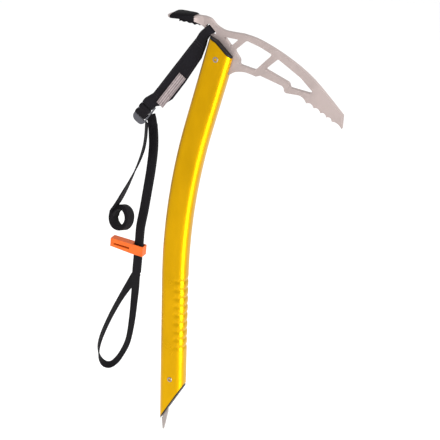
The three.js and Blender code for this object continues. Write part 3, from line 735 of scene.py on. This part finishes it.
def stitch_row(points, lift, pitch=2.6 * MM, length=2.0 * MM):
    """Stitches along a polyline on a cloth's face."""
    made = []
    for a, b in zip(points, points[1:]):
        count = max(int((b - a).length / pitch), 1)
        for k in range(count):
            start = a.lerp(b, k / count)
            made.append(stitch_mesh(start, start + (b - a).normalized() * length, lift))
    return made


def stitch_sling():
    """Two edge rows and two bar tacks on each face of the sling."""
    made = []
    for face in (-1, 1):
        y = face * (SLING_LAYER + SLING_THICK / 2)
        stations = [s * MM for s in (20, 30, 45, 62, 76, 90)]
        for edge, inset in ((0, 1.6 * MM), (1, -1.6 * MM)):
            points = [sling_point(s, sling_edges(s)[edge] + inset, y) for s in stations]
            made += stitch_row(points, Y * face)
        for s in (17 * MM, 19.5 * MM, 95 * MM, 97.5 * MM):
            left, right = sling_edges(s)
            row = [sling_point(s, left + 2 * MM, y), sling_point(s, right - 2 * MM, y)]
            made += stitch_row(row, Y * face, 1.5 * MM, 1.2 * MM)
    mesh = join_meshes("sling_stitching", made)
    smooth(mesh)
    link("sling_stitching", mesh, THREAD, "webbing", "sling")


def label_leaf(leaf):
    """One leaf of the label, rippled, the second one a little wider and further out."""
    rows, columns = 60, 14
    shares = [j / columns for j in range(columns + 1)]
    rings, uvs = [], []
    for i in range(rows + 1):
        s = (LABEL["start"] + LABEL["length"] * i / rows) * MM
        ring, marks = [], []
        for face in (1, -1):
            for share in shares[::face]:
                w = (LABEL["edge"] + LABEL["width"] * share + 0.5 * leaf) * MM
                long_wave = 0.09 * MM * math.sin(s / (7 * MM) + leaf)
                cross_wave = 0.16 * MM * math.sin(share * 7 + leaf)
                out = (LABEL["lift"] + 0.42 * leaf + 0.13 * face) * MM + long_wave + cross_wave
                ring.append(sling_point(s, w, -out))
                marks.append((s, w))
        rings.append(ring)
        uvs.append(marks)
    return grid_mesh("leaf", rings, uvs=uvs, sharp=60)


def make_label():
    """A blank folded care label, two leaves, sewn flat along the sling."""
    mesh = join_meshes("care_label", [label_leaf(0), label_leaf(1)])
    smooth(mesh, 60)
    link("care_label", mesh, LABEL_CLOTH, "label", "sling", "sling_label")


# Shaft

def shaft_point(run):
    """Centreline and direction of the shaft, run metres above the start of its bend."""
    if run < 0:
        turn, rest = 0.0, run
    else:
        turn = min(run / BEND_RADIUS, LEAN)
        rest = max(run - BEND_RADIUS * LEAN, 0)
    up = Vector((math.sin(turn), 0, math.cos(turn)))
    x = LOWER_X + BEND_RADIUS * (1 - math.cos(turn))
    z = BEND_START + BEND_RADIUS * math.sin(turn)
    return Vector((x, 0, z)) + up * rest, up


def shaft_outline(inset):
    """(forward, across, outward normal) points round the shaft's section."""
    half_d = SHAFT_DEPTH / 2 - inset
    half_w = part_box("shaft")[1].y - inset
    r = SHAFT_CORNER - inset
    points = []
    for quarter, (side_d, side_w) in enumerate(((1, 1), (-1, 1), (-1, -1), (1, -1))):
        d, w = side_d * (half_d - r), side_w * (half_w - r)
        for k in range(13):
            a = math.pi / 2 * (quarter + k / 12)
            points.append((d + r * math.cos(a), w + r * math.sin(a), math.cos(a), math.sin(a)))
    filled = []
    for i, p in enumerate(points):
        q = points[(i + 1) % len(points)]
        gap = math.hypot(q[0] - p[0], q[1] - p[1])
        parts = max(int(gap / (1.1 * MM)), 1)
        for k in range(parts):
            filled.append(tuple(a + (b - a) * k / parts for a, b in zip(p, q)))
    return filled


def above_top(p):
    """How far a point is above the cut at the top of the shaft."""
    knee = TOP_CUT["height"] + TOP_CUT["slope"] * TOP_CUT["bend"]
    slope = TOP_CUT["back_slope"] if p.x < TOP_CUT["bend"] else TOP_CUT["slope"]
    return p.z - (knee + slope * (p.x - TOP_CUT["bend"]))


def top_run(d):
    """The run at which a line along the shaft, d forward of its axis, meets the top cut."""
    low, high = 0.2, 0.36
    for _ in range(40):
        middle = (low + high) / 2
        spot, up = shaft_point(middle)
        forward = Vector((up.z, 0, -up.x))
        if above_top(spot + forward * d) > 0:
            high = middle
        else:
            low = middle
    return (low + high) / 2


def grip_dent(p, d, w):
    """How deep the pressed grip marks go in at a point of the lower shaft."""
    depth = 0.0
    edge = min(max((d - 2 * MM) / (3 * MM), 0), 1)
    for k in range(GRIP["count"]):
        off = (p.z - (GRIP["top"] - GRIP["pitch"] * k)) / GRIP["half"]
        depth = max(depth, GRIP["depth"] * math.exp(-off * off) * edge * edge * (3 - 2 * edge))
    for z in DIMPLE["heights"]:
        offset = Vector((d - DIMPLE["forward"], abs(w) - DIMPLE["across"], p.z - z))
        near = offset.length / DIMPLE["radius"]
        depth = max(depth, DIMPLE["depth"] * math.exp(-near * near))
    return depth


def shaft_skin(inset, dents):
    """Rings of one skin of the tube, each line along it running from cut to cut."""
    lines = []
    for d, w, nd, nw in shaft_outline(inset):
        lines.append((d, w, nd, nw, foot_run(d), top_run(d)))
    rings = []
    total = 330
    for k in range(total + 1):
        ring = []
        for d, w, nd, nw, foot, top in lines:
            run = foot + (top - foot) * k / total
            spot, up = shaft_point(run)
            forward = Vector((up.z, 0, -up.x))
            p = spot + forward * d + Y * w
            if dents:
                p -= (forward * nd + Y * nw) * grip_dent(p, d, w)
            ring.append(p)
        rings.append(ring)
    return rings


def foot_run(d):
    """The lower shaft is straight, so its cut is met directly."""
    return FOOT_CUT["height"] + FOOT_CUT["slope"] * (LOWER_X + d) - BEND_START


def make_shaft():
    """Alloy tube with pressed grip marks, its bore and the way for the head cut out."""
    piece = link("shaft_tube", grid_mesh("outer", shaft_skin(0, True)), GOLD, "shaft", None)
    bore = shaft_skin(SHAFT_WALL, False)
    for end, push in ((0, -1), (-1, 1)):
        bore[end] = [p + Vector((0, 0, push * 3 * MM)) for p in bore[end]]
    (x0, x1), half, (z0, z1) = HEAD_WAY["x"], HEAD_WAY["half"], HEAD_WAY["z"]
    cut(piece, [grid_mesh("inside", bore), box_mesh((x0, -half, z0), (x1, half, z1))])
    round_edges(piece, 0.25 * MM, 2, 50)
    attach(piece, "axe")
    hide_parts("shaft")


# Hardware

def make_rivets():
    """Rivets with a low rim and a sunk middle at both ends."""
    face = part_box("shaft")[1].y + 0.1 * MM
    rim = [(3, 0), (3, 0.3), (2.7, 0.7), (2.1, 0.85), (1.7, 0.75), (1.45, 0.3), (1.3, -0.7), (0, -1)]
    right = [(r * MM, face + y * MM) for r, y in rim]
    left = [(r, -y) for r, y in reversed(right)]
    for name, (x, z) in (("head_rivet", HEAD_RIVET), ("spike_rivet", SPIKE_RIVET)):
        mesh = lathe(name, left + right)
        mesh.transform(Matrix.Translation((x, 0, z)))
        link(name + "_turned", mesh, BRIGHT, "rivet", "axe", name)


def dress_frame():
    """Materials and rounded edges on the CAD nodes that stay."""
    looks = {
        "head": (HEAD_METAL, 0.7 * MM),
        "head_plug": (BLACK, 0.25 * MM),
        "spike": (BRIGHT, 0.35 * MM),
        "spike_plug": (BLACK, 0.2 * MM),
        "adze_pad_top": (RUBBER, 0.4 * MM),
        "adze_pad_under": (RUBBER, 0.4 * MM),
        "pad_screw_1": (BRIGHT, 0.15 * MM),
        "pad_screw_2": (BRIGHT, 0.15 * MM),
        "ladder_buckle": (BUCKLE_METAL, 0.6 * MM),
        "slider": (ORANGE, 0.8 * MM),
    }
    for name, (material, bevel) in looks.items():
        piece = NODES[name]
        piece.data.materials.clear()
        piece.data.materials.append(material)
        smooth(piece.data, 30)
        round_edges(piece, bevel)


look_through()
light_studio()
lay_floor()
hang_tape()
make_sling()
make_label()
make_shaft()
make_rivets()
dress_frame()
